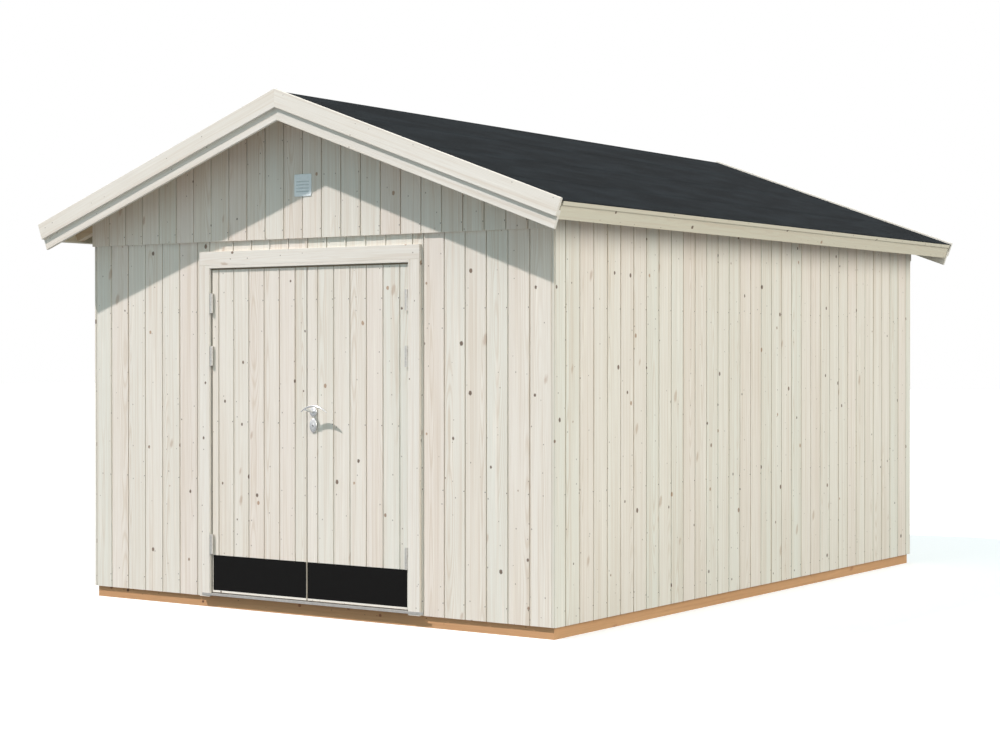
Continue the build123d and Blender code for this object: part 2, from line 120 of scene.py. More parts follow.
# %% Spots helper
def spots(tree, place, cell, share, small, large, soft, length=1.25):
    """A mask of spots, one to a cell of a Voronoi pattern, and a random number for each cell.
    share is the part of the cells that hold one, small and large are the limits of its radius,
    soft is the width of its rim, and length stretches it along the grain."""
    around = stretch(tree, place, 1.0, 1.0 / length, 0.0)
    given = {"Vector": around, "Scale": 1.0 / cell}
    voronoi = node(tree, "ShaderNodeTexVoronoi", given, voronoi_dimensions="2D")
    pick = node(tree, "ShaderNodeSeparateColor", {0: voronoi.outputs["Color"]}).outputs
    waver = 0.7 * small
    rim = noise(tree, around, 0.6 / small, 1.0)
    away = calc(tree, "MULTIPLY", voronoi.outputs["Distance"], cell)
    away = calc(tree, "MULTIPLY_ADD", rim, 2.0 * waver, away)
    empty = 1.0 - share
    radius = calc(tree, "ADD", remap(tree, pick[0], empty, 1.0, small, large), waver)
    inside = ease(tree, calc(tree, "SUBTRACT", away, radius), soft, -soft)
    held = calc(tree, "GREATER_THAN", pick[0], empty)
    return calc(tree, "MULTIPLY", inside, held), pick[1]


knot_spots = dict(cell=0.23, share=0.5, small=0.0035, large=0.0105, soft=0.002)
blotch_spots = dict(cell=0.30, share=0.32, small=0.006, large=0.014, soft=0.006, length=2.4)
speck_spots = dict(cell=0.085, share=0.36, small=0.002, large=0.0036, soft=0.001)
print("share of cells with a knot:", knot_spots["share"])

# %% [markdown]
# ## The grain of spruce
# The growth rings of a log are tubes round its pith. A board is a flat cut through them, so its
# face shows straight lines near the edges and long arches in the middle, where the cut runs a
# little askew to the pith. It is worked out as it happens in the log: the ring number is the
# distance from the pith over the width of a ring, and the height of the cut drifts along.
#
# Over the rings lie fine fibres, wider streaks, small dark knots, tan blotches where a knot
# lies just under the face, and specks. Each is a mask, and the finishes give them colours.
# A place on a board is (across, along, seed), in metres, so each board shows another log.

# %% Rings of the log
# How fast each pattern of noise changes: across the board, along it, and with the seed.
rates = dict(
    drift=(0.0, 0.45, 1.0),
    bend=(14.0, 2.2, 1.0),
    shown=(9.0, 0.5, 1.3),
    fibre=(420.0, 5.0, 3.0),
    streaks=(62.0, 0.7, 2.0),
    glow=(48.0, 1.6, 5.0),
)
pith_near, pith_spread = 0.03, 0.11
cut_low, cut_spread, cut_drift = -0.035, 0.05, 0.12
ring_bend = 0.012


def pattern(tree, place, name, detail=2.0, roughness=0.5):
    """Noise over a board, at the rates of its name."""
    return noise(tree, stretch(tree, place, *rates[name]), 1.0, detail, roughness)


def chance(tree, seed, factor):
    """A number in 0..1 that differs from seed to seed."""
    return calc(tree, "FRACT", calc(tree, "MULTIPLY", seed, factor))


def from_pith(tree, place, across, seed):
    """The distance sqrt(u^2 + h^2) and a slow bend, where u is the place across from the pith
    and h the height of the cut over it."""
    pith = calc(tree, "MULTIPLY_ADD", chance(tree, seed, 3.17), pith_spread, pith_near)
    height = calc(tree, "MULTIPLY_ADD", chance(tree, seed, 5.71), cut_spread, cut_low)
    height = calc(tree, "MULTIPLY_ADD", pattern(tree, place, "drift"), cut_drift, height)
    aside = calc(tree, "SUBTRACT", across, pith)
    squares = calc(tree, "MULTIPLY", aside, aside)
    squares = calc(tree, "MULTIPLY_ADD", height, height, squares)
    bend = pattern(tree, place, "bend")
    return calc(tree, "MULTIPLY_ADD", bend, ring_bend, calc(tree, "SQRT", squares))


print("pith within", pith_near + pith_spread, "m of a board's edge")

# %% [markdown]
# ## One group for the grain
# Every timber needs the same masks with other colours, so one node group with named sockets
# works them out. It gives masks and a height only, and the shader stays in each material.

# %% The grain group
masks = ("Lines", "Fibre", "Streaks", "Glow", "Knots", "Knot Tone", "Blotches", "Specks",
         "Height")
ring_width = 0.0055
line_sharpness = 2.2
blotch_lean = 0.22


def grain_group():
    """Rings: sin of the distance from the pith over the ring width, raised to a power, which
    thins the lines. Fibre, streaks and glow: noise stretched along the board."""
    tree = bpy.data.node_groups.new("spruce_grain", "ShaderNodeTree")
    face = tree.interface
    face.new_socket("Vector", in_out="INPUT", socket_type="NodeSocketVector")
    width = face.new_socket("Ring Width", in_out="INPUT", socket_type="NodeSocketFloat")
    width.default_value = ring_width
    for label in masks:
        face.new_socket(label, in_out="OUTPUT", socket_type="NodeSocketFloat")
    given = tree.nodes.new("NodeGroupInput").outputs
    out = tree.nodes.new("NodeGroupOutput")

    place = given["Vector"]
    across, along, seed = node(tree, "ShaderNodeSeparateXYZ", {0: place}).outputs
    distance = from_pith(tree, place, across, seed)
    rings = calc(tree, "DIVIDE", distance, given["Ring Width"])
    wave = calc(tree, "SINE", calc(tree, "MULTIPLY", rings, math.tau))
    wave = calc(tree, "MULTIPLY_ADD", wave, 0.5, 0.5)
    lines = calc(tree, "POWER", wave, line_sharpness)
    shown = ease(tree, pattern(tree, place, "shown", 1.0), 0.4, 0.62)
    lines = calc(tree, "MULTIPLY", lines, shown)
    fibre = pattern(tree, place, "fibre", 2.0, 0.6)
    streaks = pattern(tree, place, "streaks", 3.0, 0.6)
    glow = pattern(tree, place, "glow")

    aside = calc(tree, "MULTIPLY_ADD", seed, 3.7, across)
    moved = node(tree, "ShaderNodeCombineXYZ", {0: aside, 1: along}).outputs[0]
    given = {"Vector": moved, "Rotation": (0.0, 0.0, blotch_lean)}
    leaning = node(tree, "ShaderNodeMapping", given).outputs[0]
    knots, tone = spots(tree, moved, **knot_spots)
    blotches, _ = spots(tree, leaning, **blotch_spots)
    specks, _ = spots(tree, moved, **speck_spots)
    relief = calc(tree, "MULTIPLY_ADD", lines, 0.35, calc(tree, "MULTIPLY", fibre, 0.5))
    relief = calc(tree, "MULTIPLY_ADD", knots, -0.6, relief)
    results = (lines, fibre, streaks, glow, knots, tone, blotches, specks, relief)
    for label, value in zip(masks, results):
        tree.links.new(value, out.inputs[label])
    return tree


grain = grain_group()
print("grain group:", len(grain.nodes), "nodes")

# %% [markdown]
# ## Finishes of wood
# The same grain serves every timber. What differs is the colour of the wood, how strongly the
# lines show, and where the place on the board comes from. Boards made here carry a UV map in
# metres and two numbers of their own, a tint and a seed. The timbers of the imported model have
# neither, so they read the object's own coordinates, turned so that y follows the timber.

# %% Wood material
smoothest_wood, roughest_wood = 0.56, 0.72
timber_seed = 0.37


def principled(name):
    """A new material; gives it with its tree and its shader."""
    material = bpy.data.materials.new(name)
    material.use_nodes = True
    tree = material.node_tree
    return material, tree, tree.nodes["Principled BSDF"]


def board_place(tree):
    """Where a point lies on its own board, in metres, with the board's seed as third number."""
    flat = node(tree, "ShaderNodeUVMap", uv_map="board").outputs[0]
    across, along, _ = node(tree, "ShaderNodeSeparateXYZ", {0: flat}).outputs
    seed = node(tree, "ShaderNodeAttribute", attribute_name="seed").outputs["Fac"]
    given = {0: across, 1: along, 2: seed}
    return node(tree, "ShaderNodeCombineXYZ", given).outputs[0]


def timber_place(tree, along):
    """The object's own coordinates, turned so that y runs along the timber."""
    turns = {"x": (0.0, 0.0, math.pi / 2), "y": (0.0, 0.0, 0.0), "z": (math.pi / 2, 0.0, 0.0)}
    own = node(tree, "ShaderNodeTexCoord").outputs["Object"]
    turned = node(tree, "ShaderNodeMapping", {"Vector": own, "Rotation": turns[along]})
    x, y, z = node(tree, "ShaderNodeSeparateXYZ", {0: turned.outputs[0]}).outputs
    given = {0: calc(tree, "ADD", x, z), 1: y, 2: timber_seed}
    return node(tree, "ShaderNodeCombineXYZ", given).outputs[0]


def wood(name, pale, dark, knot, blotch, along=None, tints=None, lines=0.45):
    """A timber finish: pale wood that turns towards the dark colour on rings, streaks and
    fibres, a little paler in its glow, with blotches, specks and knots on it. Boards with a
    tint number lean towards one of two tints, which tells neighbours apart."""
    material, tree, shader = principled(name)
    place = timber_place(tree, along) if along else board_place(tree)
    look = node(tree, "ShaderNodeGroup", node_tree=grain)
    tree.links.new(place, look.inputs["Vector"])
    mask = look.outputs
    colour = pale
    if tints:
        tint = node(tree, "ShaderNodeAttribute", attribute_name="tint").outputs["Fac"]
        colour = mix(tree, ease(tree, tint, 0.5, 0.0, 0.0, 0.85), colour, tints[0])
        colour = mix(tree, ease(tree, tint, 0.5, 1.0, 0.0, 0.85), colour, tints[1])
    lighter = tuple(min(1.1 * c, 0.9) for c in pale[:3]) + (1.0,)
    knot_colour = mix(tree, ease(tree, mask["Knot Tone"], 0.5, 0.9), knot, blotch)
    # Each layer: its mask, the values between which it sets in, its strength and its colour.
    for label, ramp, strength, laid in (
        ("Glow", (0.56, 0.74), 0.6, lighter),
        ("Streaks", (0.44, 0.74), 0.42, dark),
        ("Lines", None, lines, dark),
        ("Fibre", (0.45, 0.8), 0.3, dark),
        ("Blotches", None, 0.5, blotch),
        ("Specks", None, 0.6, knot),
        ("Knots", None, 0.9, knot_colour),
    ):
        if ramp:
            amount = ease(tree, mask[label], *ramp, 0.0, strength)
        else:
            amount = calc(tree, "MULTIPLY", mask[label], strength)
        colour = mix(tree, amount, colour, laid)
    tree.links.new(colour, shader.inputs["Base Color"])
    rough = ease(tree, mask["Fibre"], 0.2, 0.8, smoothest_wood, roughest_wood)
    tree.links.new(rough, shader.inputs["Roughness"])
    given = {"Strength": 0.2, "Distance": 0.0008, "Height": mask["Height"]}
    bump = node(tree, "ShaderNodeBump", given)
    tree.links.new(bump.outputs[0], shader.inputs["Normal"])
    return material


# %% [markdown]
# ## Colours of the timbers
# The cladding has a thin white wash that lets the grain through. The trim has more of it. The
# boards at the eave are darker and yellower: that is painted shade, for the light that the
# tilted eave boards lose. Inside, the wood is bare, and the bearers on the ground are treated,
# which turns them orange brown.

# %% Wood finishes
washed = dict(
    pale=(0.80, 0.765, 0.69, 1.0),
    dark=(0.60, 0.50, 0.385, 1.0),
    knot=(0.11, 0.064, 0.038, 1.0),
    blotch=(0.44, 0.30, 0.20, 1.0),
)
washed_tints = ((0.80, 0.735, 0.665, 1.0), (0.76, 0.758, 0.683, 1.0))
trim_colours = {**washed, "pale": (0.80, 0.775, 0.71, 1.0)}
# The eave colour is darker and yellower than the trim's: painted shade for the light that the
# tilted fascias and drip laths lose.
eave_shade_colours = {**washed, "pale": (0.68, 0.645, 0.52, 1.0)}
bare = dict(
    pale=(0.68, 0.57, 0.42, 1.0),
    dark=(0.50, 0.37, 0.23, 1.0),
    knot=(0.13, 0.06, 0.03, 1.0),
    blotch=(0.40, 0.21, 0.10, 1.0),
)
bare_tints = ((0.66, 0.52, 0.36, 1.0), (0.72, 0.63, 0.47, 1.0))
treated = dict(
    pale=(0.62, 0.355, 0.175, 1.0),
    dark=(0.43, 0.215, 0.09, 1.0),
    knot=(0.10, 0.042, 0.02, 1.0),
    blotch=(0.36, 0.14, 0.055, 1.0),
)
faint_lines = 0.3
cladding_wood = wood("washed_cladding", tints=washed_tints, **washed)
trim_wood = wood("washed_trim", lines=faint_lines, **trim_colours)
eave_shade_wood = wood("washed_eave_painted_shade", lines=faint_lines, **eave_shade_colours)
bare_boards = wood("bare_boards", tints=bare_tints, **bare)
bare_timber = {axis: wood(f"bare_timber_{axis}", along=axis, **bare) for axis in "xyz"}
treated_timber = {
    axis: wood(f"treated_timber_{axis}", along=axis, **treated) for axis in "xy"}
washed_timber = wood("washed_ledges", along="x", **washed)
print("wood finishes:", [m.name for m in bpy.data.materials if m.use_nodes])

# %% [markdown]
# ## Meshes from arrays
# A mesh is a list of places and a list of faces that name their corners by number. Both are
# worked out with arrays and handed over in one go, which is faster than shaping by hand.

# %% Mesh helper
def mesh_object(name, points, faces, uv=None, numbers=None, smooth=False):
    """Makes an object at the origin from arrays of points and faces."""
    mesh = bpy.data.meshes.new(name)
    mesh.from_pydata(points.tolist(), [], faces)
    if uv is not None:
        mesh.uv_layers.new(name="board").data.foreach_set("uv", uv.astype(np.float32).ravel())
    for label, values in (numbers or {}).items():
        layer = mesh.attributes.new(label, "FLOAT", "POINT")
        layer.data.foreach_set("value", values.astype(np.float32).ravel())
    mesh.polygons.foreach_set("use_smooth", np.full(len(mesh.polygons), smooth))
    mesh.validate()
    made = bpy.data.objects.new(name, mesh)
    bpy.context.scene.collection.objects.link(made)
    return made


def dress(piece, body, material, slot, *replaced):
    """Gives a piece its finish and its body, and hides the solids it stands for."""
    piece.data.materials.append(material)
    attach(piece, body)
    if replaced:
        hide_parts(*replaced)
    print(piece.name, len(piece.data.polygons), "faces")
    return piece


def limits(name):
    """The lowest and highest corner of a solid, as two arrays."""
    low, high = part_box(name)
    return np.array(low), np.array(high)


X, Y, Z = (1, 0, 0), (0, 1, 0), (0, 0, 1)
BACK_X, BACK_Y = (-1, 0, 0), (0, -1, 0)

# %% [markdown]
# ## Boards
# Every board here is a prism: an outline round its section, carried along its length. An
# outline is a list of places (across, out), and each of its corners has its own start and end,
# so that a board can be cut off at the slope of the roof. Whole walls are worked out at once as
# arrays of boards by corners, with no loop over them.
#
# Each board also gets a UV map in metres, as if its faces were unrolled, and a random shift
# along it, so that no two boards show the same grain.

# %% Prism helper
longest_shift = 60.0
seed_range = 20.0


def boards(name, sections, start, end, across, out, along, seed):
    """Boards as prisms. A corner lies at across * u + out * n + along * s, where (u, n) runs
    round the section and s is the start or the end of the board at that corner. sections has
    the shape boards x corners x 2; start and end are spread over boards x corners."""
    rng = np.random.default_rng(seed)
    count, corners = sections.shape[:2]
    ends = np.stack([np.broadcast_to(place, (count, corners)) for place in (start, end)], 1)
    axes = np.array([across, out, along], float)
    flat = np.broadcast_to(sections[:, None], (count, 2, corners, 2))
    points = flat[..., :1] * axes[0] + flat[..., 1:] * axes[1] + ends[..., None] * axes[2]

    numbers = np.arange(count * 2 * corners).reshape(count, 2, corners)
    following = np.roll(numbers, -1, axis=2)
    sides = np.stack([numbers[:, 0], following[:, 0], following[:, 1], numbers[:, 1]], -1)
    caps = np.stack([numbers[:, 0, ::-1], numbers[:, 1]], 1)

    step = np.roll(sections, -1, axis=1) - sections
    walked = np.cumsum(np.hypot(step[..., 0], step[..., 1]), axis=1)
    before = np.concatenate([np.zeros((count, 1)), walked[:, :-1]], axis=1)
    next_ends = np.roll(ends, -1, axis=2)
    around = (before, walked, walked, before)
    length = (ends[:, 0], next_ends[:, 0], next_ends[:, 1], ends[:, 1])
    side_uv = np.stack([np.stack(pair, -1) for pair in zip(around, length)], 2)
    cap_uv = np.stack([sections[:, ::-1], sections], 1)
    shift = rng.uniform(0.0, longest_shift, (count, 1, 1, 2)) * [0.0, 1.0]
    side_uv = side_uv + shift
    cap_uv = cap_uv + shift

    u, n = sections[..., 0], sections[..., 1]
    area = np.sum(u * np.roll(n, -1, 1) - n * np.roll(u, -1, 1), axis=1)
    if np.linalg.det(axes) * area[0] < 0:
        sides, caps = sides[..., ::-1], caps[..., ::-1]
        side_uv, cap_uv = side_uv[:, :, ::-1], cap_uv[:, :, ::-1]
    faces = sides.reshape(-1, 4).tolist() + caps.reshape(-1, corners).tolist()
    uv = np.concatenate([side_uv.reshape(-1, 2), cap_uv.reshape(-1, 2)])
    per_board = np.repeat(rng.uniform(0.0, 1.0, (count, 2)), 2 * corners, axis=0)
    own = {"tint": per_board[:, 0], "seed": per_board[:, 1] * seed_range}
    return mesh_object(name, points.reshape(-1, 3), faces, uv, own)


# %% [markdown]
# ## Sections of boards
# Two sections serve for nearly all boards. One for cladding has bevelled arrises and is set
# back at both sides, so that neighbours leave a groove. A planed one is a rectangle with
# rounded corners: no real arris is sharp, and the rounding catches a fine line of light.

# %% Section helpers
def grooved(edges, back, front, gap=0.006, depth=0.008, bevel=0.0016):
    """Sections of boards that lie edge to edge, one between each pair of neighbouring edges:
    a flat face with bevelled arrises, set back by half a gap at each side, over a tongue."""
    low, high = edges[:-1, None], edges[1:, None]
    half = gap / 2
    across = np.concatenate(
        [low, low, low + half, low + half, low + half + bevel,
         high - half - bevel, high - half, high - half, high, high], 1)
    out = np.array([back, front - depth, front - depth, front - bevel, front,
                    front, front - bevel, front - depth, front - depth, back])
    return np.stack([across, np.broadcast_to(out, across.shape)], -1)


def rounded(low, high, back, front, radius=0.002, steps=3):
    """Section of a planed board: a rectangle whose corners are quarter circles."""
    quarter = np.arange(4)[:, None] * (math.pi / 2)
    angle = quarter + np.linspace(0.0, math.pi / 2, steps)
    middle = np.array([[high - radius, front - radius], [low + radius, front - radius],
                       [low + radius, back + radius], [high - radius, back + radius]])
    ring = middle[:, None] + radius * np.stack([np.cos(angle), np.sin(angle)], -1)
    return ring.reshape(1, -1, 2)


def edges_between(low, grooves, high):
    """The edges of a row of boards: its two ends, with the grooves between them."""
    return np.concatenate([[low], grooves, [high]])


print("corners of a planed section:", rounded(0.0, 0.1, 0.0, 0.02).shape[1])

# %% [markdown]
# ## Cladding of the side walls
# The walls are upright boards, tongued and grooved, which cover about 135 mm each. The narrow
# shadow lines between them are the strongest feature of the shed, so they are real grooves and
# no drawn lines. Each wall takes its limits from the solid that it stands for, and the tops of
# the side walls follow the slope of the roof.

# %% Side walls
board_cover = 0.135
first_cover, least_cover = 0.098, 0.03
side_gap = 0.009
pitch = math.radians(20.0)
roof_slope = math.tan(pitch)

side_low, side_high = limits("right_wall")
thickness = side_high[0] - side_low[0]
side_grooves = np.arange(
    side_low[1] + first_cover, side_high[1] - least_cover, board_cover)
side_edges = edges_between(side_low[1], side_grooves, side_high[1])
for name, out, seed in (("right_wall", X, 11), ("left_wall", BACK_X, 12)):
    section = grooved(side_edges, side_high[0] - thickness, side_high[0], side_gap)
    top = side_high[2] - roof_slope * (section[..., 1] - side_low[0])
    wall = boards(f"{name}_boards", section, side_low[2], top, Y, out, Z, seed)
    dress(wall, "shed", cladding_wood, "cladding", name)

# %% [markdown]
# ## Cladding of the front and the back
# The boards of the front wall end at the doorway, and those over the door start above the
# frame. The first and the last groove of each part were measured on the photograph.

# %% Front and back walls
front_low, front_high = limits("front_wall")
header_low, header_high = limits("front_wall_header")
front_face = -front_low[1]
left_grooves = np.linspace(-1.4884, -0.8025, 6)
right_grooves = np.linspace(0.8086, 1.4785, 6)
header_grooves = np.linspace(-0.5284, 0.5576, 9)
back_grooves = np.arange(-11, 12) * board_cover


def wall_row(low, grooves, high):
    """Sections of a row of boards in the front or the back wall."""
    return grooved(edges_between(low, grooves, high), front_face - thickness, front_face)


front_row = np.concatenate([
    wall_row(front_low[0], left_grooves, header_low[0]),
    wall_row(header_high[0], right_grooves, front_high[0]),
])
header_row = wall_row(header_low[0], header_grooves, header_high[0])
back_row = wall_row(front_low[0], back_grooves, front_high[0])
for name, solid, row, low, high, out, seed in (
    ("front_wall_boards", "front_wall", front_row, front_low, front_high, BACK_Y, 13),
    ("front_header_boards", "front_wall_header", header_row, header_low, header_high, BACK_Y, 14),
    ("back_wall_boards", "back_wall", back_row, front_low, front_high, Y, 15),
):
    wall = boards(name, row, low[2], high[2], X, out, Z, seed)
    dress(wall, "shed", cladding_wood, "cladding", solid)

# %% [markdown]
# ## Gables
# The gable boards start a little lower than the eaves and lap over the wall below, which throws
# a thin shadow line right across the front. Their tops follow the slope of the roof: each
# corner of a board's outline is cut off at its own height.

# %% Gable boards
gable_low, gable_high = limits("front_gable")
gable_shift = 0.006
narrowest = 0.02
gable_grooves = np.arange(-12, 13) * board_cover - gable_shift
gable_grooves = gable_grooves[
    (gable_grooves > gable_low[0] + narrowest) & (gable_grooves < gable_high[0] - narrowest)]
gable_edges = edges_between(gable_low[0], gable_grooves, gable_high[0])
gable_section = grooved(gable_edges, -gable_high[1], -gable_low[1])
gable_top = gable_high[2] - roof_slope * np.abs(gable_section[..., 0])
for name, out, seed in (("front_gable", BACK_Y, 21), ("back_gable", Y, 22)):
    gable = boards(f"{name}_boards", gable_section, gable_low[2], gable_top, X, out, Z, seed)
    dress(gable, "shed", cladding_wood, "cladding", name)

# %% [markdown]
# ## Roof boards
# The roof deck is laid with boards that run along the shed; they show from inside and under the
# eaves. A roof board's place is easiest to give in the slope's own directions, down the slope
# and square to it, counted from the ridge, to which the piece is lifted at the end.

# %% Roof deck
ridge = limits("left_roof_felt")[1][2]
deck_low, deck_high = limits("right_roof_deck")
deck_start, deck_reach = 0.004, 1.92186
deck_rows = 20
felt_thickness, deck_thickness = 0.004, 0.018
slopes = ((-1, "left"), (1, "right"))


def slope_axes(side):
    """Unit vectors down the slope and out of it, on the left (-1) or the right (1) side."""
    down = (side * math.cos(pitch), 0.0, -math.sin(pitch))
    out = (side * math.sin(pitch), 0.0, math.cos(pitch))
    return down, out


def raise_to_ridge(piece):
    """Lifts a piece whose places are counted from the ridge line."""
    places = np.empty(len(piece.data.vertices) * 3, np.float32)
    piece.data.vertices.foreach_get("co", places)
    places[2::3] += ridge
    piece.data.vertices.foreach_set("co", places)
    return piece


deck_edges = np.linspace(deck_start, deck_reach, deck_rows + 1)
section = grooved(deck_edges, -felt_thickness, -felt_thickness - deck_thickness,
                  gap=0.003, depth=-0.004, bevel=-0.001)
for side, name in slopes:
    down, out = slope_axes(side)
    deck = boards(
        f"{name}_deck_boards", section, deck_low[1], deck_high[1], down, out, Y, 30 + side)
    raise_to_ridge(deck)
    dress(deck, "shed", bare_boards, "frame_timber", f"{name}_roof_deck")

# %% [markdown]
# ## Bargeboards
# The verge has two steps, an upper board in front of a lower one, both planed. The pairs meet
# over the doorway in a plumb joint under the ridge, so their ends are cut on a slant there and
# square at the eave. The front and the back board of a step are two sections of one piece.

# %% Verge
edge_reach = 1.94636
verge_face = limits("left_upper_bargeboards")[1][1]
barge_thickness = 0.018
# Each step: its limits square to the slope, and how far its face is set back.
barge_steps = (
    ("upper", (-0.084, 0.011), 0.0),
    ("lower", (-0.148, -0.053), barge_thickness),
)


def ridge_cut(section):
    """Start of each corner of a board that meets its twin at the ridge: on the plumb plane
    x = 0, the place down the slope is minus the depth times the tangent of the pitch."""
    return -section[..., 0] * math.tan(pitch)


for side, name in slopes:
    down, out = slope_axes(side)
    for step, (low, high), set_back in barge_steps:
        face = verge_face - set_back
        section = np.concatenate([
            rounded(low, high, -face, -face + barge_thickness),
            rounded(low, high, face - barge_thickness, face),
        ])
        barge = boards(f"{name}_{step}_barge", section, ridge_cut(section), edge_reach,
                       out, Y, down, 40 + side)
        raise_to_ridge(barge)
        dress(barge, "shed", trim_wood, "trim", f"{name}_{step}_bargeboards")

# %% [markdown]
# ## Eaves
# A fascia closes each eave, and a thin drip lath on it holds the edge of the felt clear of its
# face. Both are planed boards that run the whole length.

# %% Fascias and drip laths
fascia_reach = 1.93986
fascia_end = limits("fascias")[1][1]
for piece_name, bottom, inner, outer, solid in (
    ("fascia_boards", -0.099, deck_reach, fascia_reach, "fascias"),
    ("drip_laths", -0.026, fascia_reach, edge_reach, "drip_strips"),
):
    section = rounded(bottom, -felt_thickness, inner, outer, radius=0.0015)
    for side, name in slopes:
        down, out = slope_axes(side)
        board = boards(
            f"{name}_{piece_name}", section, -fascia_end, fascia_end, out, down, Y, 50 + side)
        raise_to_ridge(board)
        # The eave finish is darker and yellower than the other trim: painted shade for the light
        # these tilted boards lose.
        dress(board, "shed", eave_shade_wood, "trim", solid)

# %% [markdown]
# ## Roofing felt
# Mineral felt comes on rolls and is laid from the eave up, each sheet over the one below, with
# half a metre of each left to see. Each slope is one slightly uneven surface over a grid of two
# parameters, along the shed and down the slope, and a thin step stands where a sheet ends.

# %% Felt surface
felt_low, felt_high = limits("right_roof_felt")
felt_rows, felt_columns = 90, 120
sheet_shown, lap_step = 0.5, 0.0016
wave_size, wave_count = 0.0003, 6
calm_edge = 0.02


def felt_slope(name, side, seed):
    """Height over the deck: the felt's own thickness, plus a step of 1.6 mm at the lap lines,
    plus slow waves of under a millimetre. The underside and the edges close the sheet."""
    down = np.linspace(0.0, edge_reach, felt_rows)
    along = np.linspace(felt_low[1], felt_high[1], felt_columns)
    s, y = np.meshgrid(down, along, indexing="ij")
    rng = np.random.default_rng(seed)
    waves = sum(
        rng.uniform(0.2, 0.5)
        * np.sin(rng.uniform(1.0, 6.0) * s + rng.uniform(1.0, 5.0) * y + rng.uniform(0, 6))
        for _ in range(wave_count)
    )
    lap = np.clip((s % sheet_shown) / sheet_shown, 0.0, 1.0) * lap_step
    edge = np.minimum.reduce([s, edge_reach - s, y - felt_low[1], felt_high[1] - y])
    calm = np.clip(edge / calm_edge, 0.0, 1.0)
    lift = (wave_size * waves + lap - lap_step / 2) * calm
    down_axis, out_axis = slope_axes(side)
    top = s[..., None] * np.array(down_axis) + lift[..., None] * np.array(out_axis)
    top[..., 1] = y
    top[..., 2] += ridge
    under = top - felt_thickness * np.array(out_axis)
    under[0, :, 0] = 0.0
    under[0, :, 2] = ridge - felt_thickness / math.cos(pitch)
    points = np.concatenate([top.reshape(-1, 3), under.reshape(-1, 3)])

    numbers = np.arange(s.size).reshape(s.shape)
    quads = np.stack(
        [numbers[:-1, :-1], numbers[1:, :-1], numbers[1:, 1:], numbers[:-1, 1:]], -1)
    quads = quads.reshape(-1, 4)
    beneath = quads[:, ::-1] + s.size
    rim = np.concatenate(
        [numbers[:, 0], numbers[-1, 1:], numbers[-2::-1, -1], numbers[0, -2:0:-1]])
    following = np.roll(rim, -1)
    edges = np.stack([rim, rim + s.size, following + s.size, following], -1)
    faces = np.concatenate([quads, beneath, edges])
    if side < 0:
        faces = faces[:, ::-1]
    return mesh_object(name, points, faces.tolist())


# %% [markdown]
# ## Finish of the felt
# The felt is nearly black, with soft streaks and a fine grit of slate. One stretched noise
# gives the streaks, and a very fine one gives the grit, in the colour and in the relief.

# %% Felt material
felt_dark, felt_pale = (0.0025, 0.0045, 0.006, 1.0), (0.009, 0.013, 0.016, 1.0)
grit_pale = (0.020, 0.026, 0.030, 1.0)
felt_look, felt_tree, felt_shader = principled("mineral_felt")
own = node(felt_tree, "ShaderNodeTexCoord").outputs["Object"]
streaks = noise(felt_tree, stretch(felt_tree, own, 3.2, 0.9, 3.2), 2.4, 5.0, 0.6)
grit = noise(felt_tree, own, 420.0, 2.0, 0.7)
felt_colour = mix(felt_tree, ease(felt_tree, streaks, 0.35, 0.7), felt_dark, felt_pale)
felt_colour = mix(
    felt_tree, ease(felt_tree, grit, 0.5, 0.75, 0.0, 0.35), felt_colour, grit_pale)
felt_tree.links.new(felt_colour, felt_shader.inputs["Base Color"])
felt_shader.inputs["Roughness"].default_value = 0.9
felt_shader.inputs["Specular IOR Level"].default_value = 0.08
given = {"Strength": 0.5, "Distance": 0.0015, "Height": grit}
felt_bump = node(felt_tree, "ShaderNodeBump", given)
felt_tree.links.new(felt_bump.outputs[0], felt_shader.inputs["Normal"])
for side, name in slopes:
    felt = felt_slope(f"{name}_felt_sheet", side, 60 + side)
    dress(felt, "shed", felt_look, "roof_felt", f"{name}_roof_felt")

# %% [markdown]
# ## Casing of the doorway
# The casing is planed board all round, the head board laid across the side boards, over a thin
# lath. Each is one prism with rounded arrises.

# %% Casing
casing_low, casing_high = limits("door_casings")
casing_width = 0.075
for index, start in enumerate((casing_low[0], casing_high[0] - casing_width)):
    section = rounded(start, start + casing_width, -casing_high[1], -casing_low[1])
    board = boards(
        f"casing_board_{index}", section, casing_low[2], casing_high[2], X, BACK_Y, Z, 70 + index)
    dress(board, "shed", trim_wood, "trim", "door_casings")
for name, solid, radius, seed in (
    ("head_board", "head_casing", 0.002, 72),
    ("head_lath", "head_rail", 0.0015, 73),
):
    low, high = limits(solid)
    section = rounded(low[2], high[2], -high[1], -low[1], radius)
    board = boards(name, section, low[0], high[0], Z, BACK_Y, X, seed)
    dress(board, "shed", trim_wood, "trim", solid)

# %% [markdown]
# ## Door leaves
# Each leaf is made of narrower boards than the walls, which cover 113 mm. The outer ones run
# flush to the leaf's edges, where their half grooves are cut off. Under the black kick plate the
# feet of the boards show as a pale strip, which is a lath of its own.

